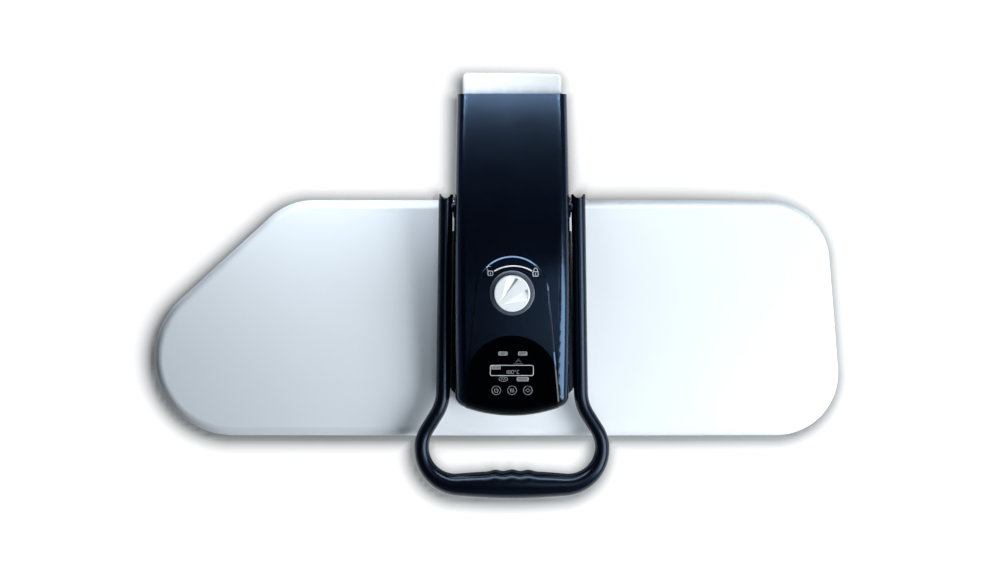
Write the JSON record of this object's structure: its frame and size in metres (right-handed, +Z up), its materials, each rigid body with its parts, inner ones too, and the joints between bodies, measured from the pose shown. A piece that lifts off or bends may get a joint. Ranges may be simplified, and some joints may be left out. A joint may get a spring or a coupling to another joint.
{
  "type": "steam ironing press",
  "caption": "Steam ironing press: long heating plate closed over a padded board, hinged arm with lock knob and display, looped press handle and slide-out water tank.",
  "frame": {"origin": "on the table, under the middle of the overall box, with the press closed and the handle down", "axes": "+X along the heating plate towards its square end (the user's right), +Y from the user towards the rear hinge, +Z up"},
  "size_m": [0.64, 0.3919, 0.2015],
  "materials": {
    "white_plastic": "semi-gloss moulded",
    "navy_plastic": "semi-gloss moulded",
    "handle_plastic": "satin moulded",
    "dark_plastic": "fine textured",
    "pale_plastic": "plain moulded",
    "frosted_plastic": "frosted",
    "button_plastic": "satin",
    "smoked_lens": "polished",
    "display_glass": "polished",
    "lamp_plastic": "polished",
    "laminate": "solder-masked",
    "silver": "satin spun",
    "aluminium": "cast and ground",
    "steel": "plated",
    "coated_steel": "powder coated",
    "brass": "turned",
    "rubber": "matt",
    "hose_rubber": "smooth silicone",
    "felt": "felted",
    "cotton": "woven, heat-proof"
  },
  "bodies": {
    "base": {"base_pan": "dark_plastic", "base_cover": "dark_plastic", "hinge_bracket": "steel", "hinge_pin": "steel", "lift_springs": "steel", "feet": "rubber", "cord_gland": "rubber", "board_tray": "coated_steel", "board_pad": "felt", "board_cloth": "cotton", "board_posts": "dark_plastic"},
    "arm": {"arm_cover": "navy_plastic", "arm_tray": "navy_plastic", "arm_frame": "steel", "hinge_bushes": "brass", "pivot_bushes": "dark_plastic", "guide_bushes": "brass", "fascia": "navy_plastic", "display_lens": "smoked_lens", "knob_bezel": "navy_plastic", "control_board": "laminate", "lcd_module": "display_glass", "indicator_lamps": "lamp_plastic", "switch_block": "dark_plastic", "pump": "pale_plastic", "tank_dock": "pale_plastic", "water_hose": "hose_rubber"},
    "plate": {"plate_cover": "white_plastic", "sole_plate": "aluminium", "plate_gasket": "rubber", "steam_chamber": "aluminium", "heating_element": "steel", "heat_shield": "aluminium", "thermostat": "pale_plastic", "guide_studs": "steel", "return_springs": "steel", "pressure_yoke": "steel", "feed_hose": "hose_rubber"},
    "handle": {"handle_upper": "handle_plastic", "handle_lower": "handle_plastic", "handle_core": "steel", "handle_shaft": "steel", "pressure_cams": "steel"},
    "knob": {"lock_knob": "silver", "lock_spindle": "steel", "lock_cam": "steel"},
    "button_left": {"button_left": "button_plastic"},
    "button_middle": {"button_middle": "button_plastic"},
    "button_right": {"button_right": "button_plastic"},
    "tank": {"water_tank": "frosted_plastic", "tank_cap": "pale_plastic", "tank_valve": "pale_plastic"}
  },
  "joints": [
    {"name": "arm_hinge", "type": "hinge", "parent": "base", "child": "arm", "pos_m": [0.0143, 0.13945, 0.1282], "axis": [-1, 0, 0], "range_deg": [0, 55]},
    {"name": "handle_pivot", "type": "hinge", "parent": "arm", "child": "handle", "pos_m": [0.0143, 0.07345, 0.1722], "axis": [-1, 0, 0], "range_deg": [0, 28]},
    {"name": "plate_lift", "type": "slide", "parent": "arm", "child": "plate", "axis": [0, 0, 1], "range_m": [0, 0.003], "deforming": ["return_springs", "feed_hose"]},
    {"name": "knob_turn", "type": "hinge", "parent": "arm", "child": "knob", "pos_m": [0.0143, -0.00505, 0.19078], "axis": [0, -0.0821, 0.9966], "range_deg": [0, 95]},
    {"name": "button_left_press", "type": "slide", "parent": "arm", "child": "button_left", "axis": [0, 0.269, -0.9631], "range_m": [0, 0.0008], "stiffness_N_per_m": 800},
    {"name": "button_middle_press", "type": "slide", "parent": "arm", "child": "button_middle", "axis": [0, 0.269, -0.9631], "range_m": [0, 0.0008], "stiffness_N_per_m": 800},
    {"name": "button_right_press", "type": "slide", "parent": "arm", "child": "button_right", "axis": [0, 0.269, -0.9631], "range_m": [0, 0.0008], "stiffness_N_per_m": 800},
    {"name": "tank_slide", "type": "slide", "parent": "arm", "child": "tank", "axis": [0, 1, 0], "range_m": [0, 0.112]}
  ],
  "couplings": [
    {"joint": "plate_lift", "follows": "handle_pivot", "m_per_rad": 0.0061388}
  ]
}
